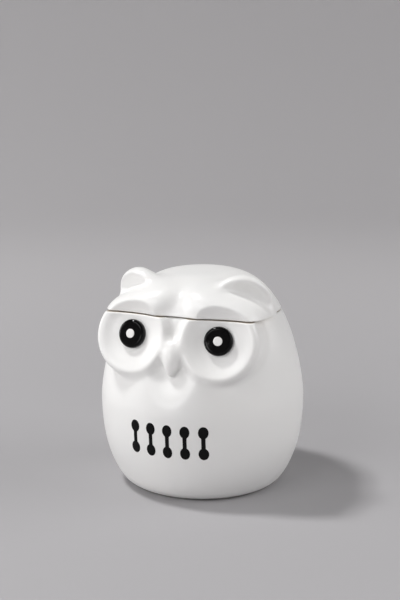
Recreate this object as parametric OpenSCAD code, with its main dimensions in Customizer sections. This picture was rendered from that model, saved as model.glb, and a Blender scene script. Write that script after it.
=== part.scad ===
// Cotton pad jar: a glazed ceramic owl with a lift-off lid.
// Millimetres. The face looks towards -Y, up is +Z and the foot stands on z = 0.

/* [Body] */
// Width of the belly
body_d = 120; // [114:1:126]
// Height of the dome over the table
body_h = 126.5; // [122:0.5:132]
// Thickness of the side wall
wall_t = 5; // [4:0.5:6.5]
// Thickness of the floor
floor_t = 6; // [4:0.5:8]
// Width of the hollow under the foot
foot_recess_d = 64; // [40:1:72]
// Depth of the hollow under the foot
foot_recess_t = 1.2; // [0.5:0.1:2]

/* [Mouth and Lid] */
// Inside width of the mouth
mouth_d = 73; // [66:0.5:74]
// Width of the ring that the lid rests on
seat_w = 2.6; // [1.8:0.1:3]
// Shadow gap seen between jar and lid
joint_gap = 0.5; // [0.2:0.1:0.9]
// Clearance between the seat ring and the lid
seat_gap = 0.05; // [0.02:0.01:0.2]
// Clearance round the locating ring of the lid
ring_gap = 1; // [0.5:0.1:1.6]
// Thickness of the locating ring
ring_t = 4; // [3:0.5:5]
// How far the locating ring reaches into the mouth
ring_drop = 6; // [4:0.5:7]
// Height of the hollow in the lid over the joint
lid_hollow_h = 15; // [10:0.5:16]

/* [Eyes] */
// Width of a pupil
pupil_d = 16.4; // [14:0.2:18]
// Thickness of a pupil
pupil_t = 4.8; // [3:0.1:5]
// Round on the edge of a pupil
pupil_round = 1.8; // [0.8:0.1:2.2]
// Depth of the pocket that holds a pupil
pocket_t = 1.2; // [0.8:0.1:1.6]
// Width of the white dot
dot_d = 5.2; // [4:0.1:7]
// Thickness of the white dot
dot_t = 1; // [0.8:0.1:1.4]
// Depth of the white dot in the pupil
dot_sink = 0.7; // [0.5:0.1:1]
// Play round a pupil and round a dot
inlay_gap = 0.08; // [0.05:0.01:0.15]

/* [Hidden] */
$fn = 96;

// The drawing is made at 120 by 126.5 and stretched to the sizes above.
R = 60;
H = 126.5;
sx = body_d / (2 * R);
sz = body_h / H;

// Egg: (r/R)^m + (|z - belly|/h)^n = 1, one pair of powers below the belly, one above.
belly_z = 53;
low_h = 66.5;
low_n = 2.4;
low_m = 3;
top_n = 1.4;
top_m = 3.5;
foot_soft = 5;

// Joint plane: z = joint_z + joint_k * y, higher at the face.
joint_z = 104.6;
joint_k = -0.075;

// Eye plate: centre, turn outwards, lean backwards, half width, half height.
eye = [26.3, -49.5, 96.9];
eye_turn = 8.5;
eye_lean = 15;
eye_a = 23.2;
eye_b = 23.4;
eye_soft = 6.5;
eye_blend = 3.5;
// Dish in the plate.
dish_t = 4.4;
dish_n = 3;
dish_a = eye_a - 2.8;
dish_b = eye_b - 2.8;
// Pupils sit a little above the middle of the dish.
pupil_up = 0.8;
// The dish carried up into the brow: offset outwards, half width, half height, depth, power.
socket_u = 2;
socket_a = 22.2;
socket_b = 21.4;
socket_t = 5.6;
socket_n = 3.2;

// Valley in the face behind the beak, leaning with the face.
chin_c = [0, -62, 89];
chin_s = [18, 14.6, 26];
chin_lean = 0.18;
chin_blend = 5;

// Beak: centre, half sizes, lean, taper towards the tip.
beak_c = [0, -50.6, 86.2];
beak_s = [5.9, 5.6, 10.6];
beak_a = 22;
beak_k = 0.36;

// Brow: a rounded box in front of the dome, lower at its outer end.
brow_c = [25.2, -22.5, 100.8];
brow_s = [25.2, 25, 20];
brow_p = 3;
brow_k = 0.32;
brow_blend = 4;

// Ear: a lobe turned by ear_a and tipped by ear_b, and the bent hollow in front of it.
ear_c = [31.2, -20.5, 113];
ear_s = [18, 10.5, 16.4];
ear_a = 34;
ear_b = 20;
ear_blend = 7;
hollow_c = [-0.5, 9.4, 5.2];
hollow_s = [21.5, 8.4, 8.4];
hollow_k = 0.012;

function smin(a, b, k) = let (h = min(1, max(0, 0.5 + 0.5 * (b - a) / k)))
    b + (a - b) * h - k * h * (1 - h);
function smax(a, b, k) = -smin(-a, -b, k);

function egg(r, z) = let (
    up = z > belly_z,
    m = up ? top_m : low_m,
    n = up ? top_n : low_n,
    d = up ? H - belly_z : low_h,
    q = r / R,
    t = max(0.000001, abs(z - belly_z) / d),
    gr = m / R * pow(q, m - 1),
    gt = n / d * pow(t, n - 1)
    ) (pow(q, m) + pow(t, n) - 1) / sqrt(gr * gr + gt * gt + 0.00000001);

// Eye plate frame: across, up the plate, out of the plate.
function eye_frame(x, y, z) = let (
    dx = abs(x) - eye[0],
    dy = y - eye[1],
    dz = z - eye[2],
    f = dx * sin(eye_turn) - dy * cos(eye_turn)
    ) [dx * cos(eye_turn) + dy * sin(eye_turn),
       dz * cos(eye_lean) - f * sin(eye_lean),
       f * cos(eye_lean) + dz * sin(eye_lean)];

function beak(x, y, z) = let (
    dy = y - beak_c[1],
    dz = z - beak_c[2],
    l = (dz * cos(beak_a) + dy * sin(beak_a)) / beak_s[2],
    n = dy * cos(beak_a) - dz * sin(beak_a),
    m = 1 + beak_k * min(1, max(-1, l))
    ) (norm([x / beak_s[0] / m, n / beak_s[1] / m, l]) - 1) * beak_s[1];

// Outer skin of the jar, negative inside.
function jar_field(x, y, z) = let (
    e = egg(norm([x, y]), z)
    ) z < 58 ? smax(e, -z - foot_soft / 10, foot_soft) : let (
    w = eye_frame(x, y, z),
    dz = z - chin_c[2],
    c = norm([x / chin_s[0], (y - chin_c[1] - chin_lean * dz) / chin_s[1], dz / chin_s[2]]),
    q = norm([w[0] / eye_a, w[1] / eye_b]),
    plate = smax(smax((q - 1) * eye_a, w[2], eye_soft), y + 16, 8),
    s = smin(smin(smax(e, (1 - c) * chin_s[1], chin_blend), plate, eye_blend), beak(x, y, z), 3),
    p = norm([w[0] / dish_a, w[1] / dish_b]),
    b = smax(s, w[2] + dish_t * (1 - pow(p, dish_n)), 2)
    ) smax(b, z - joint_z - joint_k * y, 0.8);

// Ear lobe and its hollow, negative inside the lobe and inside what is left.
function ear(x, y, z) = let (
    dx = abs(x) - ear_c[0],
    dy = y - ear_c[1],
    dz = z - ear_c[2],
    f = dx * cos(ear_a) + dy * sin(ear_a),
    n = dx * sin(ear_a) - dy * cos(ear_a),
    t = f * cos(ear_b) - dz * sin(ear_b),
    h = f * sin(ear_b) + dz * cos(ear_b)
    ) [(norm([t / ear_s[0], n / ear_s[1], h / ear_s[2]]) - 1) * ear_s[1],
       (1 - norm([(t - hollow_c[0]) / hollow_s[0], (n - hollow_c[1]) / hollow_s[1],
           (h - hollow_c[2] + hollow_k * t * t) / hollow_s[2]])) * hollow_s[2]];

// Outer skin of the lid, negative inside.
function lid_field(x, y, z) = let (
    bx = norm([x, 4]) - brow_c[0],
    bz = z - brow_c[2] + brow_k * bx,
    h = pow(abs(bx / brow_s[0]), brow_p) + pow(abs((y - brow_c[1]) / brow_s[1]), brow_p)
        + pow(abs(bz / brow_s[2]), brow_p),
    o = ear(x, y, z),
    s = smin(smax(smin(egg(norm([x, y]), z), o[0], ear_blend), o[1], 3),
        (pow(h, 1 / brow_p) - 1) * 20, brow_blend),
    w = eye_frame(x, y, z),
    p = norm([(w[0] - socket_u) / socket_a, w[1] / socket_b]),
    b = smax(s, w[2] + socket_t * (1 - pow(p, socket_n)), 1)
    ) smax(b, joint_z + joint_k * y - z, 0.8);

// Distance along a ray at which the field turns positive.
function jar_point(c, s, z, k, r) = [r * s, -r * c, z - k * r * c];
function jar_root(c, s, z, k, lo, hi, n) = n == 0 ? jar_point(c, s, z, k, (lo + hi) / 2) : let (
    m = (lo + hi) / 2,
    p = jar_point(c, s, z, k, m)
    ) jar_field(p[0], p[1], p[2]) < 0 ? jar_root(c, s, z, k, m, hi, n - 1)
        : jar_root(c, s, z, k, lo, m, n - 1);

// The rays of the lid start behind its middle, so they meet the ears from behind.
lid_y = 6;
function lid_point(c, s, e, r) = let (y = lid_y - r * cos(e) * c)
    [r * cos(e) * s, y, joint_z + joint_k * y + r * sin(e)];
function lid_root(c, s, e, lo, hi, n) = n == 0 ? lid_point(c, s, e, (lo + hi) / 2) : let (
    m = (lo + hi) / 2,
    p = lid_point(c, s, e, m)
    ) lid_field(p[0], p[1], p[2]) < 0 ? lid_root(c, s, e, m, hi, n - 1)
        : lid_root(c, s, e, lo, m, n - 1);

// A ring on the joint plane, set in from the ring next to it so the edge is broken.
function plane_ring(ring, y) = [for (p = ring) let (
    d = [p[0], p[1] - y],
    q = [0, y] + d * (1 - 1.1 / norm(d))
    ) [q[0], q[1], joint_z + joint_k * q[1]]];

// Columns and rows, closer together on the face.
jar_cols = concat([for (i = [0:8]) i * 1.5], [for (i = [1:22]) 12 + i * 2.2], [for (i = [1:4]) 60.4 + i * 4],
    [for (i = [1:15]) 76.4 + i * 103.6 / 15]);
lid_cols = concat([for (i = [0:24]) i * 1.9], [for (i = [1:17]) 45.6 + i * 2],
    [for (i = [1:13]) 79.6 + i * 100.4 / 13]);
jar_rows = [-0.3, 0.25, 0.9, 1.9, 3.6, 6.5, 11, 16.5, 23, 30, 38, 46, 53, 59, 63.5, 67, 69.5, 71.5, 73, 74.2, 75.2,
    76.2, 77.2, 78.4, 79.8, 81.4, 83.2, 85.2, 87.4, 89.6, 92, 94.4, 96.8, 99, 101, 102.4, 103.3, 104];
lid_rows = [0.8, 2, 3.6, 5.4, 7.2, 9, 10.8, 12.6, 14.4, 16.2, 18, 19.8, 21.4, 23, 24.6, 26.2, 27.8, 29.6, 32, 35.5,
    41, 49, 60, 74];

function tilt(z) = joint_k * pow(max(0, z / joint_z), 4);
// Both halves of a ring, from its right half.
function both(half) = concat(half, [for (j = [len(half) - 2:-1:1]) [-half[j][0], half[j][1], half[j][2]]]);
function fit(p, dz) = [p[0] * sx, p[1] * sx, p[2] * sz + dz];

// Closes a stack of rings with a fan at each end; lean picks the diagonal of the squares on the +X half.
module shell(rings, low, high, lean) {
    n = len(rings[0]);
    m = len(rings);
    flat = [for (r = rings) for (p = r) p];
    points = concat(flat, [low, high]);
    sides = [for (i = [0:m - 2]) for (j = [0:n - 1]) let (
        a = i * n + j,
        b = i * n + (j + 1) % n,
        c = b + n,
        d = a + n
        ) each (lean == (j < n / 2) ? [[a, d, c], [a, c, b]] : [[a, d, b], [b, d, c]])];
    under = [for (j = [0:n - 1]) [m * n, j, (j + 1) % n]];
    over = [for (j = [0:n - 1]) [m * n + 1, (m - 1) * n + (j + 1) % n, (m - 1) * n + j]];
    polyhedron(points = points, faces = concat(sides, under, over), convexity = 8);
}

module jar_skin() {
    half = [for (z = jar_rows) [for (t = jar_cols) jar_root(cos(t), sin(t), z, tilt(z), 15, 75, 15)]];
    rows = concat(half, [plane_ring(half[len(half) - 1], 0)]);
    rings = [for (i = [0:len(rows) - 1]) [for (p = both(rows[i]))
        fit(p, -joint_gap / 2 * pow(max(0, i < len(half) ? jar_rows[i] : joint_z) / joint_z, 8))]];
    shell(rings, [0, 0, jar_rows[0] * sz], [0, 0, joint_z * sz - joint_gap / 2], true);
}

module lid_skin() {
    half = [for (e = lid_rows) [for (t = lid_cols) lid_root(cos(t), sin(t), e, 6, 85, 15)]];
    rows = concat([plane_ring(half[0], lid_y)], half);
    rings = [for (h = rows) [for (p = both(h)) fit(p, joint_gap / 2)]];
    shell(rings, fit(lid_point(1, 0, 0, 0), joint_gap / 2), fit(lid_root(1, 0, 90, 6, 85, 15), joint_gap / 2),
        false);
}

// Everything below the joint plane, moved up or down by dz.
slope = atan(joint_k * sz / sx);
module below_joint(dz) {
    translate([0, 0, joint_z * sz + dz])
        rotate([slope, 0, 0])
            translate([-100, -100, -200])
                cube([200, 200, 200]);
}

// Inside radius of the egg at a height of the finished jar.
function inner_r(z) = let (
    w = z / sz,
    up = w > belly_z,
    t = abs(w - belly_z) / (up ? H - belly_z : low_h)
    ) sx * R * pow(1 - pow(t, up ? top_n : low_n), 1 / (up ? top_m : low_m)) - wall_t;

mouth_r = mouth_d / 2;
neck_z = 96 * sz;
shoulder_z = 88 * sz;
floor_round = 9;

// The wall bulges inwards behind the valley of the face, so it stays thick there.
module valley_back() {
    translate([0, -66.8 * sx, 92 * sz])
        rotate([-21.8, 0, 0])
            translate([0, 0, -45])
                cylinder(r = 24, h = 55);
}

module cavity() {
    difference() {
        rotate_extrude()
            polygon(concat(
                [[0, floor_t], [inner_r(floor_t + floor_round) - floor_round, floor_t]],
                [for (a = [15:15:75]) [inner_r(floor_t + floor_round) - floor_round * (1 - sin(a)),
                    floor_t + floor_round * (1 - cos(a))]],
                [for (i = [0:12]) let (z = floor_t + floor_round + (shoulder_z - floor_t - floor_round) * i / 12)
                    [inner_r(z), z]],
                [[mouth_r, neck_z], [mouth_r, 140], [0, 140]]));
        valley_back();
    }
}

module jar() {
    color([0.93, 0.92, 0.90])
        difference() {
            union() {
                jar_skin();
                intersection() {
                    difference() {
                        translate([0, 0, neck_z])
                            cylinder(r = mouth_r + seat_w, h = 20);
                        translate([0, 0, neck_z - 1])
                            cylinder(r = mouth_r - 1, h = 22);
                    }
                    below_joint(joint_gap / 2 - seat_gap);
                }
            }
            cavity();
            translate([0, 0, -10])
                cylinder(r = 100, h = 10);
            translate([0, 0, -1])
                cylinder(d = foot_recess_d, h = 1 + foot_recess_t);
            pupil_pocket(1);
            pupil_pocket(-1);
        }
}

ring_r = mouth_r - ring_gap;
module lid() {
    color([0.94, 0.93, 0.91])
        difference() {
            union() {
                lid_skin();
                difference() {
                    translate([0, 0, (joint_z - 15) * sz])
                        cylinder(r = ring_r, h = 20 * sz);
                    below_joint(-ring_drop);
                }
            }
            rotate_extrude()
                polygon(concat([[0, 0]], [for (a = [0:7.5:90])
                    [(ring_r - ring_t) * cos(a), joint_z * sz + 1 + (lid_hollow_h - 1) * sin(a)]],
                    [[0, 0]]));
            translate([0, 0, 60])
                cylinder(r = ring_r - ring_t, h = joint_z * sz + 1 - 60);
        }
}

// Places a child on the dish of an eye: z out of the plate, z = 0 at the pocket floor.
function eye_spot() = [eye[0] * sx, eye[1] * sx, eye[2] * sz];
module on_eye(s) {
    translate([s * eye_spot()[0], eye_spot()[1], eye_spot()[2]])
        rotate([0, 0, s * eye_turn])
            rotate([90 - eye_lean, 0, 0])
                translate([0, pupil_up, -dish_t - pocket_t])
                    children();
}

module pupil_pocket(s) {
    on_eye(s)
        cylinder(r = pupil_d / 2 + inlay_gap, h = 30);
}

module pupil(s) {
    on_eye(s)
        color([0.02, 0.02, 0.02])
            difference() {
                rotate_extrude()
                    union() {
                        square([pupil_d / 2, pupil_t - pupil_round]);
                        square([pupil_d / 2 - pupil_round, pupil_t]);
                        translate([pupil_d / 2 - pupil_round, pupil_t - pupil_round])
                            intersection() {
                                circle(r = pupil_round);
                                square([pupil_round, pupil_round]);
                            }
                    }
                translate([0, 0, pupil_t - dot_sink])
                    cylinder(r = dot_d / 2 + inlay_gap, h = 5);
            }
}

module eye_dot(s) {
    on_eye(s)
        translate([0, 0, pupil_t - dot_sink])
            color([0.95, 0.95, 0.94])
                cylinder(d = dot_d, h = dot_t);
}

module left_pupil() { pupil(1); }
module right_pupil() { pupil(-1); }
module left_eye_dot() { eye_dot(1); }
module right_eye_dot() { eye_dot(-1); }

jar();
lid();
left_pupil();
right_pupil();
left_eye_dot();
right_eye_dot();
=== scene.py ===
"""Cotton pad jar: a glazed ceramic owl with a lift-off lid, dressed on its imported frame."""
import math
import bpy
import numpy as np
from bpy.props import FloatProperty, FloatVectorProperty, IntProperty, PointerProperty
from bpy.types import Operator, Panel, PropertyGroup
from mathutils import Matrix, Vector


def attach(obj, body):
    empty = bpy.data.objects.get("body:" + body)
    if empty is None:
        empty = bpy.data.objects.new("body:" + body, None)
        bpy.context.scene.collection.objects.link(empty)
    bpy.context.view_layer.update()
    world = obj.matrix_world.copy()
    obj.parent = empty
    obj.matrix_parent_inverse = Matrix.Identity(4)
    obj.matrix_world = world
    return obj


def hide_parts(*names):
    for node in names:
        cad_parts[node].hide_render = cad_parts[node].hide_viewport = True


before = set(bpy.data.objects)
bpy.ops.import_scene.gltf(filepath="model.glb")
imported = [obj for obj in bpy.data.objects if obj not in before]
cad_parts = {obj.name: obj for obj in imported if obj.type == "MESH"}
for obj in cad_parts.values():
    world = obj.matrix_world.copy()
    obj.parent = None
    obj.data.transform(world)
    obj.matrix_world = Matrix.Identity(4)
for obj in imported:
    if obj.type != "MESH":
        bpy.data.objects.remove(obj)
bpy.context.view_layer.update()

bl_info = {
    "name": "Owl Cotton Jar",
    "version": (1, 0, 0),
    "blender": (4, 5, 0),
    "location": "View3D > Sidebar > Owl Jar",
    "description": "Glazed owl jar for cotton pads, with its lid, eyes, print and studio",
    "category": "Object",
}

MM = 0.001


def size(label, value, about):
    """A length in metres for a property group, given in millimetres."""
    return FloatProperty(name=label, description=about, default=value * MM, min=0.0,
                         unit="LENGTH", precision=5)


def colour(label, value, about):
    """A colour without alpha for a property group."""
    return FloatVectorProperty(name=label, description=about, default=value, min=0.0, max=1.0,
                               size=3, subtype="COLOR")


class OWLJAR_Sizes(PropertyGroup):
    """Lengths of the jar, the lid and the eyes."""
    belly: size("Belly", 120, "Width of the belly")
    dome: size("Dome", 126.5, "Height of the dome over the table")
    wall: size("Wall", 5, "Thickness of the side wall")
    floor: size("Floor", 6, "Thickness of the floor inside")
    foot_hollow: size("Foot Hollow", 64, "Width of the hollow under the foot")
    foot_depth: size("Foot Depth", 1.2, "Depth of the hollow under the foot")
    mouth: size("Mouth", 73, "Inside width of the mouth")
    seat: size("Seat", 2.6, "Width of the ring that the lid rests on")
    seat_gap: size("Seat Gap", 0.05, "Space between the seat and the lid")
    gap: size("Joint Gap", 0.5, "Shadow gap between jar and lid")
    ring_play: size("Ring Play", 1, "Clearance round the locating ring")
    ring_wall: size("Ring Wall", 4, "Thickness of the locating ring")
    ring_drop: size("Ring Drop", 6, "Reach of the locating ring into the mouth")
    lid_hollow: size("Lid Hollow", 15, "Height of the hollow in the lid")
    pupil: size("Pupil", 16.4, "Width of a pupil")
    pupil_depth: size("Pupil Depth", 4.8, "Thickness of a pupil")
    pupil_round: size("Pupil Round", 1.8, "Round on the edge of a pupil")
    pocket: size("Pocket", 1.2, "Depth of a pupil in the dish")
    dot: size("Dot", 5.2, "Width of the white dot")
    dot_depth: size("Dot Depth", 1.0, "Thickness of the white dot")
    dot_sink: size("Dot Sink", 0.7, "Depth of the white dot in the pupil")
    print_width: size("Print Width", 46.5, "Width of the row of swabs")
    print_height: size("Print Height", 20, "Height of a printed swab")
    print_level: size("Print Level", 39.5, "Height of the middle of the print")


class OWLJAR_Finish(PropertyGroup):
    """Colours and mesh density."""
    glaze: colour("Glaze", (0.87, 0.862, 0.84), "White glaze")
    black: colour("Black Glaze", (0.0013, 0.0012, 0.0012), "Glaze of the pupils and the print")
    clay: colour("Bare Clay", (0.50, 0.43, 0.35), "Unglazed foot, seat and joint faces")
    # paper tones: the far one is lighter, painted light that makes up for the lamps' falloff on
    # the far paper and wall
    backdrop: colour("Backdrop", (0.405, 0.397, 0.406), "Studio paper under the jar")
    far_paper_painted_light: colour("Backdrop Wall", (0.49, 0.479, 0.487),
                          "Studio paper far behind the jar")
    swabs: IntProperty(name="Swabs", description="Printed swabs in the row",
                       default=5, min=1, max=9)
    columns: IntProperty(name="Columns", description="Mesh columns round half of the jar",
                         default=150, min=40, max=300)


# Drawing of the owl
# In millimetres: x to the owl's left, y to the back, z up. The owl is drawn 120 wide and 126.5
# high, and stretch() carries the drawing to the jar's own size.

DRAWN_WIDE, DRAWN_TALL = 0.12, 0.1265     # size of the drawing, in metres
RADIUS = 60.0                             # of the egg at the belly
HEIGHT = 126.5                            # of the dome
BELLY = 53.0                              # height of the egg's widest place
EGG_BELOW = (3.0, 2.4, 66.5)              # below the belly: power across, power upwards, reach
EGG_ABOVE = (3.5, 1.4, HEIGHT - BELLY)    # the same above the belly
FOOT_CUT = 0.5                            # depth at which the egg is cut flat
FACE_LOW = 58.0                           # the skin is a plain egg below this height
JOINT = 104.6                             # height of the joint plane on the axis
SLOPE = -0.075                            # rise of the joint plane towards the back

EYE = (26.3, -49.5, 96.9)                 # middle of the left eye plate
EYE_TURN = math.radians(8.5)              # outwards
EYE_LEAN = math.radians(15)               # back
EYE_HALF = (23.2, 23.4)                   # half width and half height of a plate
PLATE_BACK = -16.0                        # where a plate ends in the egg
RIM = 2.8                                 # width of the rim round a dish
DISH, DISH_POWER = 4.4, 3                 # depth of a dish, and how its bottom flattens
PUPIL_UP = 0.8                            # height of a pupil over the middle of its dish
SOCKET = (2.0, 22.2, 21.4, 5.6, 3.2)      # shift outwards, half width, half height, depth, power

# centre, radii, then: lean and taper; lean; power and fall outwards; turn and tip
BEAK = ((0.0, -50.6, 86.2), (5.9, 5.6, 10.6), math.radians(22), 0.36)
CHIN = ((0.0, -62.0, 89.0), (18.0, 14.6, 26.0), 0.18)
BROW = ((25.2, -22.5, 100.8), (25.2, 25.0, 20.0), 3.0, 0.32)
EAR = ((31.2, -20.5, 113.0), (18.0, 10.5, 16.4), math.radians(34), math.radians(20))
BROW_SOFT = 4.0                           # softens the fold between the brows
EAR_HOLLOW = ((-0.5, 9.4, 5.2), (21.5, 8.4, 8.4), 0.012)    # in the ear's frame: its bend last
BULGE = (-66.8, 92.0, math.radians(21.8), 24.0)             # y and z of its axis, lean, radius

# widths over which two forms run into each other
ROUND = {"valley": 5.0, "plate_rim": 6.5, "plate_back": 8.0, "plate": 3.5, "beak": 3.0,
         "dish": 2.0, "foot": 5.0, "ear": 7.0, "ear_hollow": 3.0, "brow": 4.0, "socket": 1.0,
         "joint": 0.8}

# rows of the skins: heights on the jar, angles over the joint plane on the lid
JAR_LEVELS = np.concatenate([[-0.3, 0.0, 0.3, 0.7, 1.3, 2.2, 3.4, 5.0],
                             np.linspace(7.0, 57.0, 22), np.linspace(59.0, 66.0, 6),
                             np.linspace(67.0, 102.5, 72),
                             [103.0, 103.4, 103.7, 103.95, 104.15, 104.3, 104.42, 104.5]])
LID_LIFTS = np.radians(np.concatenate([[0.12, 0.28, 0.5, 0.8, 1.2, 1.8],
                                       np.linspace(2.4, 38.0, 92), np.linspace(39.5, 60.0, 14),
                                       [64, 68, 72, 76, 80, 84, 87.5, 90]]))
JAR_REACH, LID_REACH = (15.0, 75.0), (6.0, 85.0)    # stretch of a ray in which the skin lies
LID_START = 6.0                           # y of the point from which the lid's rays start
HALVINGS = 26
SLANT_POWER, GAP_POWER = 4, 8             # how late rows turn to the joint plane, and to the gap
JOINT_INSET = 0.5                         # how far the joint face is set in from the skin
COLUMN_SPREAD = (0.62, 0.38, 3.2)         # even share, share crowded to the face, its power

FOOT_BEVEL, FOOT_EDGE = (0.6, 0.5), (0.4, 0.3)    # of the foot's hollow: ceiling, table
NECK, SHOULDER = 96, 88                   # lower end of the mouth, and where the wall starts
SEAT_BEVEL = (0.15, 0.1)
MOUTH_ROUND = (0.5, 0.15)                 # reach of the round, and of its middle point
NECK_ROUND = (0.3, 0.2)
FLOOR_ROUND, FLOOR_RING = 9, 20
RING_ROUND = (0.8, 0.25)                  # of the locating ring: reach and middle point
HOLLOW_RISE = 1                           # straight part of the lid's hollow
SHARP_EDGE = math.radians(50)

PUPIL_BEVEL, PUPIL_CROWN = 0.3, 0.25
DOT_BEVEL, DOT_ROUND, DOT_CROWN = 0.1, (0.3, 0.25), 0.05
BUD_HALF, BUD_REACH = 2.8, 3.6            # half width and half height of a swab's bud
STICK_HALF, STICK_ROUND = 1.15, 0.35
PRINT_OUT, PRINT_IN = 0.06, -0.15         # print over the glaze, and its back in the wall
PRINT_STEPS = 13                          # points across a swab


def soft_min(a, b, k):
    """The smaller of a and b, rounded over a width k where they meet."""
    h = np.clip(0.5 + 0.5 * (b - a) / k, 0.0, 1.0)
    return b + (a - b) * h - k * h * (1.0 - h)


def soft_max(a, b, k):
    """The larger of a and b, rounded over a width k where they meet."""
    return -soft_min(-a, -b, k)


def egg(r, z):
    """Distance to the egg (r/R)^m + (|z - belly|/h)^n = 1, with m, n and h of their own below
    and above the belly. The two small numbers keep the slope off zero."""
    m, n, d = (np.where(z > BELLY, above, below) for above, below in zip(EGG_ABOVE, EGG_BELOW))
    q = r / RADIUS
    t = np.maximum(1e-6, np.abs(z - BELLY) / d)
    slope_r = m / RADIUS * q ** (m - 1)
    slope_z = n / d * t ** (n - 1)
    return (q ** m + t ** n - 1) / np.sqrt(slope_r ** 2 + slope_z ** 2 + 1e-8)


def eye_frame(x, y, z):
    """Across, up and out of the eye plate, which is turned outwards and leans back."""
    dx, dy, dz = np.abs(x) - EYE[0], y - EYE[1], z - EYE[2]
    forward = dx * math.sin(EYE_TURN) - dy * math.cos(EYE_TURN)
    return (dx * math.cos(EYE_TURN) + dy * math.sin(EYE_TURN),
            dz * math.cos(EYE_LEAN) - forward * math.sin(EYE_LEAN),
            forward * math.cos(EYE_LEAN) + dz * math.sin(EYE_LEAN))


def blob(x, y, z, centre, radii):
    """Scaled distance from a centre: 1 on the ellipsoid with those radii."""
    return np.sqrt(((x - centre[0]) / radii[0]) ** 2 + ((y - centre[1]) / radii[1]) ** 2
                   + ((z - centre[2]) / radii[2]) ** 2)


def beak(x, y, z):
    """Distance to the beak: an ellipsoid that leans forward at its tip, its width scaled by
    1 + taper * l at the share l of its length."""
    centre, radii, lean, taper = BEAK
    dy, dz = y - centre[1], z - centre[2]
    along = (dz * math.cos(lean) + dy * math.sin(lean)) / radii[2]
    wide = 1 + taper * np.clip(along, -1.0, 1.0)
    out = dy * math.cos(lean) - dz * math.sin(lean)
    return (blob(x / wide, out / wide, along, (0, 0, 0), (radii[0], radii[1], 1.0)) - 1) * radii[1]


def jar_field(x, y, z):
    """Jar skin, negative inside: egg less the valley, plus eye plates and beak, less the dishes,
    under the joint plane. Below the face it is the egg with its flat foot."""
    e = egg(np.hypot(x, y), z)
    u, v, w = eye_frame(x, y, z)
    centre, radii, lean = CHIN
    valley = (1 - blob(x, y - lean * (z - centre[2]), z, centre, radii)) * radii[1]
    rim = (np.hypot(u / EYE_HALF[0], v / EYE_HALF[1]) - 1) * EYE_HALF[0]
    plate = soft_max(soft_max(rim, w, ROUND["plate_rim"]), y - PLATE_BACK, ROUND["plate_back"])
    s = soft_min(soft_max(e, valley, ROUND["valley"]), plate, ROUND["plate"])
    s = soft_min(s, beak(x, y, z), ROUND["beak"])
    p = np.hypot(u / (EYE_HALF[0] - RIM), v / (EYE_HALF[1] - RIM))
    s = soft_max(s, w + DISH * (1 - p ** DISH_POWER), ROUND["dish"])
    s = soft_max(s, z - JOINT - SLOPE * y, ROUND["joint"])
    return np.where(z < FACE_LOW, soft_max(e, -z - FOOT_CUT, ROUND["foot"]), s)


def ear(x, y, z):
    """Distances to the ear lobe and into its bent hollow, both in the frame of the ear."""
    centre, radii, turn, tip = EAR
    dx, dy, dz = np.abs(x) - centre[0], y - centre[1], z - centre[2]
    across = dx * math.cos(turn) + dy * math.sin(turn)
    out = dx * math.sin(turn) - dy * math.cos(turn)
    t = across * math.cos(tip) - dz * math.sin(tip)
    h = across * math.sin(tip) + dz * math.cos(tip)
    lobe = (blob(t, out, h, (0, 0, 0), radii) - 1) * radii[1]
    middle, hollow, bend = EAR_HOLLOW
    return lobe, (1 - blob(t, out, h + bend * t * t, middle, hollow)) * hollow[2]


def lid_field(x, y, z):
    """Lid skin, negative inside: egg plus ears, less their hollows, plus brows, less the eye
    sockets, over the joint plane."""
    centre, half, m, fall = BROW
    bx = np.sqrt(x * x + BROW_SOFT ** 2) - centre[0]
    bz = z - centre[2] + fall * bx
    brow = (np.abs(bx / half[0]) ** m + np.abs((y - centre[1]) / half[1]) ** m
            + np.abs(bz / half[2]) ** m) ** (1 / m)
    lobe, hollow = ear(x, y, z)
    s = soft_min(egg(np.hypot(x, y), z), lobe, ROUND["ear"])
    s = soft_max(s, hollow, ROUND["ear_hollow"])
    s = soft_min(s, (brow - 1) * half[2], ROUND["brow"])
    u, v, w = eye_frame(x, y, z)
    shift, wide, tall, deep, power = SOCKET
    p = np.hypot((u - shift) / wide, v / tall)
    s = soft_max(s, w + deep * (1 - p ** power), ROUND["socket"])
    return soft_max(s, JOINT + SLOPE * y - z, ROUND["joint"])


def first_out(field, place, shape, reach):
    """Points where rays leave a shape: halves the reach of all rays at once until the field
    changes sign."""
    low, high = np.full(shape, reach[0]), np.full(shape, reach[1])
    for _ in range(HALVINGS):
        mid = (low + high) / 2
        inside = field(*place(mid)) < 0
        low, high = np.where(inside, mid, low), np.where(inside, high, mid)
    return np.stack(place((low + high) / 2), axis=-1)


def column_angles(count):
    """Angles from the face all round, with two thirds of the columns on the front half."""
    even, crowded, power = COLUMN_SPREAD
    s = np.linspace(0.0, 1.0, count + 1)
    half = np.pi * (even * s + crowded * s ** power)
    return np.concatenate([half, 2 * np.pi - half[-2:0:-1]])


def in_mm(sizes):
    """All lengths of the sizes, in millimetres."""
    return {name: getattr(sizes, name) / MM for name in sizes.__annotations__}


def scales(sizes):
    """How many times the jar is as wide and as tall as the drawing."""
    return sizes.belly / DRAWN_WIDE, sizes.dome / DRAWN_TALL


def raised(level, sizes):
    """A height of the drawing, carried to the jar's own height."""
    return level * sizes.dome / DRAWN_TALL


def stretch(points, sizes):
    """Points of the drawing, carried to the jar's own width and height."""
    wide, tall = scales(sizes)
    return points * np.array([wide, wide, tall])


def ring_rows(profile, angles, slant):
    """Turns rows of (radius, height, slant share) about Z. The share ties a row to the sloping
    joint plane."""
    r, z, share = [np.asarray(c, dtype=float)[:, None] for c in zip(*profile)]
    x, y = r * np.sin(angles), -r * np.cos(angles)
    return np.stack([x, y, z + share * slant * y], axis=-1)


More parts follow.
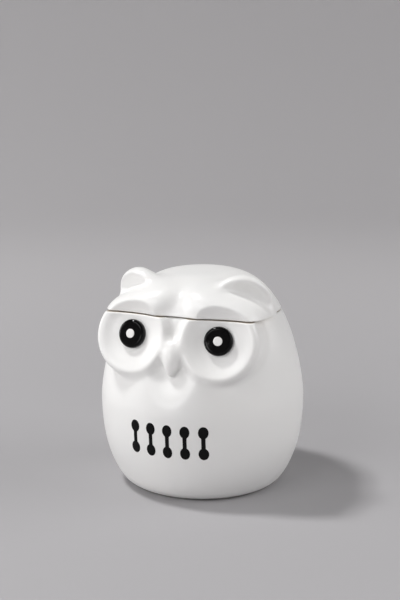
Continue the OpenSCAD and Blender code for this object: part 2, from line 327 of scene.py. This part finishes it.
def plane_ring(ring, start):
    """A ring on the joint plane, set in from the ring next to it so that the edge stays round."""
    flat = ring[:, :2] - [0.0, start]
    flat = flat * (1 - JOINT_INSET / np.linalg.norm(flat, axis=1))[:, None] + [0.0, start]
    return np.column_stack([flat, JOINT + SLOPE * flat[:, 1]])


def bulge_radius(angles, z, sizes):
    """Where a ray from the axis meets the leaning cylinder behind the face's valley: the first
    root of a r^2 + 2 b r + (middle/deep)^2 - 1 = 0, or endless where it misses."""
    wide_scale, tall_scale = scales(sizes)
    start, level, lean, wide = BULGE
    middle = start * wide_scale + math.tan(lean) * (z - level * tall_scale)
    deep = wide / math.cos(lean)
    s, c = np.sin(angles), np.cos(angles)
    a = (s / wide) ** 2 + (c / deep) ** 2
    b = c * middle / deep ** 2
    root = b * b - a * ((middle / deep) ** 2 - 1)
    return np.where((root > 0) & (c > 0), (-b - np.sqrt(np.maximum(root, 0))) / a, np.inf)


def inner_radius(z, sizes):
    """Inside radius of the egg at a height, in millimetres."""
    wide, tall = scales(sizes)
    w = z / tall
    m, n, d = EGG_ABOVE if w > BELLY else EGG_BELOW
    t = abs(w - BELLY) / d
    return wide * RADIUS * (1 - t ** n) ** (1 / m) - sizes.wall / MM


def closed_grid(name, rows, material, bare=None):
    """A closed surface from rows of points: quads between the rows, one point at each end."""
    m, n = rows.shape[:2]
    points = np.concatenate([rows[:1, 0], rows[1:-1].reshape(-1, 3), rows[-1:, 0]]) * MM
    i, j = np.meshgrid(np.arange(m - 3), np.arange(n), indexing="ij")
    k = (j + 1) % n
    quads = np.stack([1 + i * n + j, 1 + i * n + k, 1 + (i + 1) * n + k, 1 + (i + 1) * n + j],
                     axis=-1).reshape(-1, 4)
    j = np.arange(n)
    k = (j + 1) % n
    low = np.stack([np.zeros(n, int), 1 + k, 1 + j], axis=-1)
    last = 1 + (m - 3) * n
    high = np.stack([np.full(n, len(points) - 1), last + j, last + k], axis=-1)
    loops = np.concatenate([low.ravel(), quads.ravel(), high.ravel()]).astype(np.int32)
    totals = np.concatenate([np.full(n, 3), np.full(len(quads), 4), np.full(n, 3)])
    starts = np.concatenate([[0], np.cumsum(totals)[:-1]]).astype(np.int32)
    mesh = bpy.data.meshes.new(name)
    mesh.vertices.add(len(points))
    mesh.vertices.foreach_set("co", points.astype(np.float32).ravel())
    mesh.loops.add(len(loops))
    mesh.loops.foreach_set("vertex_index", loops)
    mesh.polygons.add(len(totals))
    mesh.polygons.foreach_set("loop_start", starts)
    mesh.update(calc_edges=True)
    mesh.polygons.foreach_set("use_smooth", np.ones(len(totals), bool))
    mesh.set_sharp_from_angle(angle=SHARP_EDGE)
    if bare is not None:
        layer = mesh.attributes.new("bare", "FLOAT", "POINT")
        flat = np.concatenate([bare[:1, 0], bare[1:-1].reshape(-1), bare[-1:, 0]])
        layer.data.foreach_set("value", flat.astype(np.float32))
    mesh.materials.append(material)
    obj = bpy.data.objects.new(name, mesh)
    bpy.context.scene.collection.objects.link(obj)
    return obj


# Glazes

CLOUD_TINT = (0.975, 0.985, 1.0)
CLAY_SHADE, BLACK_WAVE, ENAMEL_EDGE = 0.86, 1.7, 0.93    # second tone, as a share of the first
CLAY_ROUGH = 0.85
PUPIL_ROUGH, PRINT_ROUGH = 0.07, 0.2
WHITE_IOR, BLACK_IOR, BLACK_SPECULAR = 1.5, 1.52, 0.16


def new_material(name):
    """An empty node material with its Principled shader and object coordinates."""
    mat = bpy.data.materials.new(name)
    mat.use_nodes = True
    tree = mat.node_tree
    shader = tree.nodes["Principled BSDF"]
    where = tree.nodes.new("ShaderNodeTexCoord")
    return mat, tree, shader, where.outputs["Object"]


def noise(tree, where, scale, detail=2.0):
    """A noise pattern in object space."""
    node = tree.nodes.new("ShaderNodeTexNoise")
    node.inputs["Scale"].default_value = scale
    node.inputs["Detail"].default_value = detail
    tree.links.new(where, node.inputs["Vector"])
    return node.outputs["Fac"]


def spread(tree, value, low, high):
    """Maps a pattern of 0 to 1 on to low to high."""
    node = tree.nodes.new("ShaderNodeMapRange")
    node.inputs["To Min"].default_value = low
    node.inputs["To Max"].default_value = high
    tree.links.new(value, node.inputs["Value"])
    return node.outputs["Result"]


def blend_colour(tree, factor, a, b):
    """Mixes two colours, each a tuple or a socket, by a socket."""
    node = tree.nodes.new("ShaderNodeMix")
    node.data_type = "RGBA"
    tree.links.new(factor, node.inputs["Factor"])
    for socket, value in ((node.inputs["A"], a), (node.inputs["B"], b)):
        if isinstance(value, tuple):
            socket.default_value = (*value, 1.0)
        else:
            tree.links.new(value, socket)
    return node.outputs["Result"]


def shaded(tone, share):
    """A tone made darker or lighter by a share."""
    return tuple(c * share for c in tone)


def bump(tree, shader, height, strength, distance):
    """Waves in a surface, with their distance in metres."""
    node = tree.nodes.new("ShaderNodeBump")
    node.inputs["Strength"].default_value = strength
    node.inputs["Distance"].default_value = distance
    tree.links.new(height, node.inputs["Height"])
    tree.links.new(node.outputs["Normal"], shader.inputs["Normal"])


def white_glaze(name, finish):
    """Warm white glaze: faint clouding, slow waves of a poured coat, and grainy bare clay where
    the attribute "bare" says that the part was wiped."""
    mat, tree, shader, where = new_material(name)
    base, clay = tuple(finish.glaze), tuple(finish.clay)
    cool = tuple(c * k for c, k in zip(base, CLOUD_TINT))
    cloud = blend_colour(tree, noise(tree, where, scale=28.0), base, cool)
    grain = blend_colour(tree, noise(tree, where, scale=900.0, detail=4.0),
                         clay, shaded(clay, CLAY_SHADE))
    bare = tree.nodes.new("ShaderNodeAttribute")
    bare.attribute_name = "bare"
    tree.links.new(blend_colour(tree, bare.outputs["Fac"], cloud, grain),
                   shader.inputs["Base Color"])
    rough = tree.nodes.new("ShaderNodeMix")
    tree.links.new(bare.outputs["Fac"], rough.inputs["Factor"])
    tree.links.new(spread(tree, noise(tree, where, scale=60.0), low=0.285, high=0.33),
                   rough.inputs["A"])
    rough.inputs["B"].default_value = CLAY_ROUGH
    tree.links.new(rough.outputs["Result"], shader.inputs["Roughness"])
    shader.inputs["IOR"].default_value = WHITE_IOR
    bump(tree, shader, noise(tree, where, scale=75.0, detail=3.0), strength=0.12, distance=0.0005)
    return mat


def black_glaze(name, finish, rough):
    """Thick black glaze with a slow wave and a little unevenness in its gloss."""
    mat, tree, shader, where = new_material(name)
    deep = tuple(finish.black)
    tree.links.new(blend_colour(tree, noise(tree, where, scale=160.0, detail=3.0),
                                deep, shaded(deep, BLACK_WAVE)), shader.inputs["Base Color"])
    tree.links.new(spread(tree, noise(tree, where, scale=240.0), low=rough * 0.8,
                          high=rough * 1.3), shader.inputs["Roughness"])
    shader.inputs["IOR"].default_value = BLACK_IOR
    shader.inputs["Specular IOR Level"].default_value = BLACK_SPECULAR
    bump(tree, shader, noise(tree, where, scale=220.0), strength=0.15, distance=0.0003)
    return mat


def dot_glaze(name, finish):
    """White enamel in two close tones, a little duller than the glaze round it."""
    mat, tree, shader, where = new_material(name)
    base = tuple(finish.glaze)
    tree.links.new(blend_colour(tree, noise(tree, where, scale=420.0, detail=4.0),
                                base, shaded(base, ENAMEL_EDGE)), shader.inputs["Base Color"])
    tree.links.new(spread(tree, noise(tree, where, scale=500.0), low=0.29, high=0.36),
                   shader.inputs["Roughness"])
    bump(tree, shader, noise(tree, where, scale=600.0), strength=0.2, distance=0.0002)
    return mat


# Pieces

def make_jar(sizes, finish):
    """Jar as one closed profile per column: foot hollow, foot, outer skin, joint face, seat,
    mouth and inside. The skin is found along level rays from the axis."""
    mm = in_mm(sizes)
    wide, tall = scales(sizes)
    angles = column_angles(finish.columns)
    z = JAR_LEVELS[:, None]
    slant = SLOPE * np.maximum(0.0, z / JOINT) ** SLANT_POWER
    s, c = np.sin(angles)[None, :], np.cos(angles)[None, :]

    def along(r):
        return r * s, -r * c, z - slant * r * c

    skin = first_out(jar_field, along, (len(z), len(angles)), JAR_REACH)
    skin = stretch(np.concatenate([skin, plane_ring(skin[-1], 0.0)[None]]), sizes)
    rise = np.maximum(0.0, np.append(z, JOINT)[:, None] / JOINT)
    skin[:, :, 2] -= mm["gap"] / 2 * rise ** GAP_POWER
    skin = skin[1:]

    foot, hollow = mm["foot_hollow"] / 2, mm["foot_depth"]
    under = ring_rows([(0, hollow, 0), (foot - FOOT_BEVEL[0], hollow, 0),
                       (foot, hollow - FOOT_BEVEL[1], 0), (foot, FOOT_EDGE[1], 0),
                       (foot + FOOT_EDGE[0], 0, 0)], angles, 0)

    k = SLOPE * tall / wide
    top = raised(JOINT, sizes)
    mouth, seat = mm["mouth"] / 2, mm["mouth"] / 2 + mm["seat"]
    ring = ring_rows([(seat, top - mm["gap"] / 2, 1)], angles, k)[0]
    land = np.stack([skin[-1] + (ring - skin[-1]) * f for f in (0.25, 0.6, 1.0)])
    land[:, :, 2] = top - mm["gap"] / 2 + k * land[:, :, 1]

    high = top + mm["gap"] / 2 - mm["seat_gap"]
    neck, shoulder = raised(NECK, sizes), raised(SHOULDER, sizes)
    lip = [(seat, high - SEAT_BEVEL[1], 1), (seat - SEAT_BEVEL[0], high, 1),
           (mouth + MOUTH_ROUND[0], high, 1), (mouth + MOUTH_ROUND[1], high - MOUTH_ROUND[1], 1),
           (mouth, high - MOUTH_ROUND[0], 1),
           (mouth, neck + NECK_ROUND[0], 0), (mouth + NECK_ROUND[0], neck - NECK_ROUND[1], 0)]
    below = inner_radius(shoulder, sizes)
    start = mm["floor"] + FLOOR_ROUND
    wall = [(mouth + (below - mouth) * f, neck + (shoulder - neck) * f, 0)
            for f in np.linspace(0.06, 0.94, 12)]
    wall += [(inner_radius(h, sizes), h, 0) for h in np.linspace(shoulder, start, 38)]
    bottom = [(inner_radius(start, sizes) - FLOOR_ROUND * (1 - math.cos(a)),
               start - FLOOR_ROUND * math.sin(a), 0) for a in np.radians([15, 30, 45, 60, 75, 90])]
    bottom += [(FLOOR_RING, mm["floor"], 0), (0, mm["floor"], 0)]
    inner = ring_rows(lip + wall + bottom, angles, k)
    for ring in inner[len(lip):-len(bottom)]:
        ring[:, :2] *= np.minimum(1.0, bulge_radius(angles, ring[0, 2], sizes)
                                  / np.hypot(ring[:, 0], ring[:, 1]))[:, None]

    rows = np.concatenate([under, skin, land, inner])
    bare = np.zeros(rows.shape[:2])
    bare[3:len(under) + 2] = 1.0                      # ring of the foot and the skin next to it
    land_row = len(under) + len(skin)
    bare[land_row - 1:land_row + len(land) + 4] = 1.0     # joint face and seat, up to the mouth
    return closed_grid("jar_body", rows, white_glaze("jar_glaze", finish), bare)


def make_lid(sizes, finish):
    """Lid as one closed profile per column: hollow, locating ring, joint face and the skin up to
    the crown. The skin is found along rays from a point on the joint plane."""
    mm = in_mm(sizes)
    wide, tall = scales(sizes)
    angles = column_angles(finish.columns)
    lift = LID_LIFTS[:, None]
    s, c = np.sin(angles)[None, :], np.cos(angles)[None, :]

    def along(r):
        flat = r * np.cos(lift)
        y = LID_START - flat * c
        return flat * s, y, JOINT + SLOPE * y + r * np.sin(lift)

    skin = first_out(lid_field, along, (len(lift), len(angles)), LID_REACH)
    skin = stretch(np.concatenate([plane_ring(skin[0], LID_START)[None], skin]), sizes)
    skin[:, :, 2] += mm["gap"] / 2

    k = SLOPE * tall / wide
    top = raised(JOINT, sizes)
    low = top - mm["ring_drop"]
    out = mm["mouth"] / 2 - mm["ring_play"]
    bore = out - mm["ring_wall"]
    edge, bend = RING_ROUND
    hollow = [(bore * math.cos(a), top + HOLLOW_RISE
               + (mm["lid_hollow"] - HOLLOW_RISE) * math.sin(a), 0)
              for a in np.radians(np.linspace(90, 0, 16))]
    hollow += [(bore, low + edge, 1), (bore + bend, low + bend, 1), (bore + edge, low, 1),
               (out - edge, low, 1), (out - bend, low + bend, 1), (out, low + edge, 1),
               (out, top + mm["gap"] / 2, 1)]
    inner = ring_rows(hollow, angles, k)
    land = np.stack([inner[-1] + (skin[0] - inner[-1]) * f for f in (0.3, 0.65)])

    rows = np.concatenate([inner, land, skin])
    bare = np.zeros(rows.shape[:2])
    bare[len(inner) - 1:len(inner) + len(land) + 1] = 1.0     # joint face
    return closed_grid("lid_dome", rows, white_glaze("lid_glaze", finish), bare)


def eye_matrix(sizes, side):
    """Places a turned piece on the dish of one eye, with Z out of the plate and 0 on the floor
    of the pocket."""
    wide, tall = scales(sizes)
    spot = Vector((side * EYE[0] * wide, EYE[1] * wide, EYE[2] * tall))
    turn = (Matrix.Rotation(side * EYE_TURN, 4, "Z")
            @ Matrix.Rotation(math.pi / 2 - EYE_LEAN, 4, "X"))
    sink = Matrix.Translation((0, PUPIL_UP, -DISH - sizes.pocket / MM))
    return Matrix.Translation(spot) @ turn @ sink


def turned(name, profile, matrix, material, count=96):
    """Turns an outline of (radius, height) about Z and places it with a matrix."""
    angles = np.linspace(0, 2 * np.pi, count, endpoint=False)
    r, z = [np.array(c, dtype=float)[:, None] for c in zip(*profile)]
    points = np.stack([r * np.cos(angles), r * np.sin(angles), z + 0 * angles], axis=-1)
    m = np.array(matrix)
    return closed_grid(name, points @ m[:3, :3].T + m[:3, 3], material)


def make_pupil(name, sizes, material, side):
    """Button of glaze: straight side, a round of one radius at the edge, and a crown that sinks
    outwards with the square of the radius."""
    half, deep, soft = sizes.pupil / 2 / MM, sizes.pupil_depth / MM, sizes.pupil_round / MM
    flat = half - soft
    level = deep - soft - PUPIL_CROWN
    outline = [(0, 0), (half - PUPIL_BEVEL, 0), (half, PUPIL_BEVEL), (half, level)]
    outline += [(flat + soft * math.cos(a), level + soft * math.sin(a))
                for a in np.radians(np.linspace(6, 90, 15))]
    outline += [(flat * f, deep - PUPIL_CROWN * f * f) for f in (0.85, 0.7, 0.55, 0.4, 0.2, 0)]
    return turned(name, outline, eye_matrix(sizes, side), material)


def make_dot(name, sizes, material, side):
    """Drop of white enamel on the pupil, with a soft edge and a low crown."""
    half, deep = sizes.dot / 2 / MM, sizes.dot_depth / MM
    base = (sizes.pupil_depth - sizes.dot_sink) / MM
    across, up = DOT_ROUND
    flat = half - across
    level = base + deep - across
    outline = [(0, base), (half - DOT_BEVEL, base), (half, base + DOT_BEVEL), (half, level)]
    outline += [(flat + across * math.cos(a), level + up * math.sin(a))
                for a in np.radians(np.linspace(15, 90, 6))]
    outline += [(flat * f, base + deep - DOT_CROWN * f * f) for f in (0.7, 0.35, 0)]
    return turned(name, outline, eye_matrix(sizes, side), material, 72)


def make_swab(name, sizes, middle, material):
    """Printed swab on the belly: a stick with an elliptical bud at each end, as a thin closed
    patch that is wrapped on the egg."""
    tall = sizes.print_height / MM
    along = np.linspace(0.0, 1.0, 121) * tall
    end = np.minimum(along, tall - along)
    bud = BUD_HALF * np.sqrt(np.clip(1 - ((end - BUD_REACH) / BUD_REACH) ** 2, 0, 1))
    half = soft_max(bud, np.where(end > BUD_REACH, STICK_HALF, 0.0), STICK_ROUND)
    half = np.where(end < BUD_REACH, bud, half)
    z = sizes.print_level / MM - tall / 2 + along
    across = np.concatenate([np.linspace(-1, 1, PRINT_STEPS), np.linspace(1, -1, PRINT_STEPS)])
    out = np.repeat([PRINT_OUT, PRINT_IN], PRINT_STEPS)
    x = middle + half[:, None] * across[None, :]
    zz = np.repeat(z[:, None], len(across), axis=1)
    wide_scale, tall_scale = scales(sizes)
    m, n, d = EGG_BELOW
    w = zz / tall_scale
    r = wide_scale * RADIUS * (1 - (np.abs(w - BELLY) / d) ** n) ** (1 / m) + out[None, :]
    y = -np.sqrt(r ** 2 - x ** 2)
    return closed_grid(name, np.stack([x, y, zz], axis=-1), material)


# Studio
# In metres and watts. A lamp's row: name, place, width and height, power.

LAMPS = (("key", (-0.94, -0.14, 2.02), (0.30, 0.30), 27.0),
         ("front", (-0.40, -1.00, 0.86), (0.8, 0.5), 3.8),
         ("front_low", (-0.36, -1.25, 0.22), (0.34, 0.3), 2.2),
         ("front_right", (0.80, -0.93, 0.36), (0.5, 0.4), 0.4),
         ("left", (-1.15, -0.45, 0.38), (0.6, 0.5), 3.6),
         ("right", (1.02, 0.28, 0.56), (0.9, 0.7), 6.2))
LAMP_AIM = (0, 0, 0.07)
SKY = (0.02, 0.16)                        # strength near the floor, and at the top of the room
SKY_FROM, SKY_TO = -0.1, 0.95             # rise of the view between the two
FLOOR_START, FLOOR_REACH = 0.05, 0.9      # innermost ring and end of the level floor
FLOOR_RINGS, CURVE_RINGS, SECTORS = 14, 24, 96
CURVE = 1.1                               # radius of the curve from the floor to the wall
WALL_TOP = 3.2
PAINTED_LIGHT_FROM, PAINTED_LIGHT_TO = 0.1, 0.7             # distance over which the paper's colour turns lighter: painted light
PAPER_ROUGH, PAPER_SPECULAR = 0.9, 0.15

CAMERA_YAW, CAMERA_PITCH = math.radians(19.752), math.radians(13.180)
CAMERA_PLACE = (0.273029, -0.765046, 0.298431)
SENSOR, FOCAL = 36.0, 1417.0 / 600.0      # frame height in mm, and the lens as a share of it
CAMERA_FAR = 60.0


def add_sweep(finish):
    """Round paper studio: level floor, a quarter circle up and a wall, all round the jar. The
    paper's colour turns lighter with the distance from the jar: painted light that makes up for
    the lamps' falloff on the far paper and wall."""
    turn = np.linspace(0, np.pi / 2, CURVE_RINGS + 1)[1:]
    end = FLOOR_REACH + CURVE
    radii = np.concatenate([np.geomspace(FLOOR_START, FLOOR_REACH, FLOOR_RINGS),
                            FLOOR_REACH + CURVE * np.sin(turn), [end, end]])
    high = np.concatenate([np.zeros(FLOOR_RINGS), CURVE * (1 - np.cos(turn)),
                           [2 * CURVE, WALL_TOP]])
    n = SECTORS
    angles = np.linspace(0, 2 * np.pi, n, endpoint=False)
    x, y = np.outer(radii, np.cos(angles)), np.outer(radii, np.sin(angles))
    z = np.repeat(high, n).reshape(-1, n)
    points = np.concatenate([[[0, 0, 0]], np.stack([x, y, z], axis=-1).reshape(-1, 3)])
    i, j = np.meshgrid(np.arange(len(radii) - 1) * n + 1, np.arange(n), indexing="ij")
    k = (j + 1) % n
    quads = np.stack([i + j, i + n + j, i + n + k, i + k], axis=-1).reshape(-1, 4)
    middle = np.stack([np.zeros(n, int), 1 + j[0], 1 + k[0]], axis=-1)
    mesh = bpy.data.meshes.new("studio_sweep")
    mesh.from_pydata(points.tolist(), [], middle.tolist() + quads.tolist())
    mesh.polygons.foreach_set("use_smooth", np.ones(len(mesh.polygons), bool))
    mesh.materials.append(paper_with_painted_light(finish))
    sweep = bpy.data.objects.new("studio_sweep", mesh)
    bpy.context.scene.collection.objects.link(sweep)


def paper_with_painted_light(finish):
    """Dull paper whose colour turns lighter from under the jar to the wall: painted light on the
    far paper and wall.
    """
    mat, tree, shader, where = new_material("paper_with_painted_light")
    reach = tree.nodes.new("ShaderNodeVectorMath")
    reach.operation = "LENGTH"
    tree.links.new(where, reach.inputs[0])
    away = tree.nodes.new("ShaderNodeMapRange")
    away.interpolation_type = "SMOOTHSTEP"
    away.inputs["From Min"].default_value = PAINTED_LIGHT_FROM
    away.inputs["From Max"].default_value = PAINTED_LIGHT_TO
    tree.links.new(reach.outputs["Value"], away.inputs["Value"])
    # painted light: the paper's colour turns lighter with the distance from the jar
    tone = blend_colour(tree, away.outputs["Result"],
                        tuple(finish.backdrop), tuple(finish.far_paper_painted_light))
    tree.links.new(tone, shader.inputs["Base Color"])
    shader.inputs["Roughness"].default_value = PAPER_ROUGH
    shader.inputs["Specular IOR Level"].default_value = PAPER_SPECULAR
    return mat


def add_lamp(name, place, extent, power):
    """Rectangular soft lamp that looks at the middle of the jar."""
    lamp = bpy.data.lights.new(name, "AREA")
    lamp.shape = "RECTANGLE"
    lamp.size, lamp.size_y = extent
    lamp.energy = power
    obj = bpy.data.objects.new(name, lamp)
    obj.location = place
    obj.rotation_euler = (Vector(LAMP_AIM) - Vector(place)).to_track_quat("-Z", "Y").to_euler()
    bpy.context.scene.collection.objects.link(obj)


def add_world():
    """White light from all round that grows from the floor's level to the top of the room."""
    world = bpy.context.scene.world or bpy.data.worlds.new("studio")
    bpy.context.scene.world = world
    world.use_nodes = True
    tree = world.node_tree
    back = tree.nodes["Background"]
    where = tree.nodes.new("ShaderNodeTexCoord")
    split = tree.nodes.new("ShaderNodeSeparateXYZ")
    tree.links.new(where.outputs["Generated"], split.inputs["Vector"])
    rise = spread(tree, split.outputs["Z"], *SKY)
    rise.node.inputs["From Min"].default_value = SKY_FROM
    rise.node.inputs["From Max"].default_value = SKY_TO
    tree.links.new(rise, back.inputs["Strength"])
    back.inputs["Color"].default_value = (1.0, 1.0, 1.0, 1.0)


def add_camera(scene):
    """Camera of the photograph: 85 mm lens, 0.86 m away, to the right and a little above."""
    yaw, pitch = CAMERA_YAW, CAMERA_PITCH
    right = Vector((math.cos(yaw), math.sin(yaw), 0))
    back = Vector((math.sin(yaw) * math.cos(pitch), -math.cos(yaw) * math.cos(pitch),
                   math.sin(pitch)))
    up = back.cross(right)
    camera = bpy.data.cameras.new("camera")
    camera.sensor_width = SENSOR
    camera.lens = SENSOR * FOCAL
    camera.clip_end = CAMERA_FAR
    obj = bpy.data.objects.new("camera", camera)
    obj.matrix_world = Matrix([(right[i], up[i], back[i], CAMERA_PLACE[i]) for i in range(3)]
                              + [(0, 0, 0, 1)])
    scene.collection.objects.link(obj)
    scene.camera = obj


# Operators

class OWLJAR_OT_jar(Operator):
    """Make the jar with its face, foot, seat and inside"""
    bl_idname = "owl_jar.jar"
    bl_label = "Jar"

    def execute(self, context):
        piece = make_jar(context.scene.owl_jar_sizes, context.scene.owl_jar_finish)
        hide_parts("jar")
        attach(piece, "jar")
        return {"FINISHED"}


class OWLJAR_OT_lid(Operator):
    """Make the lid with its brows, ears, hollow and locating ring"""
    bl_idname = "owl_jar.lid"
    bl_label = "Lid"

    def execute(self, context):
        piece = make_lid(context.scene.owl_jar_sizes, context.scene.owl_jar_finish)
        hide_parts("lid")
        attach(piece, "lid")
        return {"FINISHED"}


class OWLJAR_OT_pupils(Operator):
    """Make both raised black pupils"""
    bl_idname = "owl_jar.pupils"
    bl_label = "Pupils"

    def execute(self, context):
        sizes, finish = context.scene.owl_jar_sizes, context.scene.owl_jar_finish
        glaze = black_glaze("pupil_glaze", finish, PUPIL_ROUGH)
        for name, side in (("left", 1), ("right", -1)):
            piece = make_pupil(name + "_pupil_button", sizes, glaze, side)
            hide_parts(name + "_pupil")
            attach(piece, "jar")
        return {"FINISHED"}


class OWLJAR_OT_dots(Operator):
    """Make the white dot of each eye"""
    bl_idname = "owl_jar.dots"
    bl_label = "Eye Dots"

    def execute(self, context):
        sizes, finish = context.scene.owl_jar_sizes, context.scene.owl_jar_finish
        enamel = dot_glaze("dot_enamel", finish)
        for name, side in (("left", 1), ("right", -1)):
            piece = make_dot(name + "_dot_enamel", sizes, enamel, side)
            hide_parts(name + "_eye_dot")
            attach(piece, "jar")
        return {"FINISHED"}


class OWLJAR_OT_print(Operator):
    """Print a plain row of cotton swabs on the belly"""
    bl_idname = "owl_jar.print_row"
    bl_label = "Swab Print"

    def execute(self, context):
        sizes, finish = context.scene.owl_jar_sizes, context.scene.owl_jar_finish
        ink = black_glaze("print_black", finish, PRINT_ROUGH)
        wide = sizes.print_width / MM - 2 * BUD_HALF
        for number, middle in enumerate(np.linspace(-wide / 2, wide / 2, finish.swabs)):
            piece = make_swab("print_swab_%d" % (number + 1), sizes, float(middle), ink)
            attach(piece, "jar")
        return {"FINISHED"}


class OWLJAR_OT_stage(Operator):
    """Make the paper studio, its lamps and the camera"""
    bl_idname = "owl_jar.stage"
    bl_label = "Studio"

    def execute(self, context):
        add_sweep(context.scene.owl_jar_finish)
        for lamp in LAMPS:
            add_lamp(*lamp)
        add_world()
        add_camera(context.scene)
        context.scene.view_settings.view_transform = "Standard"
        return {"FINISHED"}


class OWLJAR_PT_panel(Panel):
    """Sizes, finish and pieces of the owl jar"""
    bl_label = "Owl Jar"
    bl_idname = "OWLJAR_PT_panel"
    bl_space_type = "VIEW_3D"
    bl_region_type = "UI"
    bl_category = "Owl Jar"

    def draw(self, context):
        column = self.layout.column()
        for group in (context.scene.owl_jar_sizes, context.scene.owl_jar_finish):
            for name in group.__annotations__:
                column.prop(group, name)
        for step in STEPS:
            column.operator(step.bl_idname)


STEPS = (OWLJAR_OT_jar, OWLJAR_OT_lid, OWLJAR_OT_pupils, OWLJAR_OT_dots, OWLJAR_OT_print,
         OWLJAR_OT_stage)
CLASSES = (OWLJAR_Sizes, OWLJAR_Finish) + STEPS + (OWLJAR_PT_panel,)


def register():
    """Adds the classes and hangs their settings on the scene."""
    for cls in CLASSES:
        bpy.utils.register_class(cls)
    bpy.types.Scene.owl_jar_sizes = PointerProperty(type=OWLJAR_Sizes)
    bpy.types.Scene.owl_jar_finish = PointerProperty(type=OWLJAR_Finish)


def unregister():
    """Takes the settings and classes away again."""
    del bpy.types.Scene.owl_jar_finish
    del bpy.types.Scene.owl_jar_sizes
    for cls in reversed(CLASSES):
        bpy.utils.unregister_class(cls)


def main():
    """Makes every piece and the studio."""
    register()
    bpy.ops.owl_jar.jar()
    bpy.ops.owl_jar.lid()
    bpy.ops.owl_jar.pupils()
    bpy.ops.owl_jar.dots()
    bpy.ops.owl_jar.print_row()
    bpy.ops.owl_jar.stage()


if __name__ == "__main__":
    main()
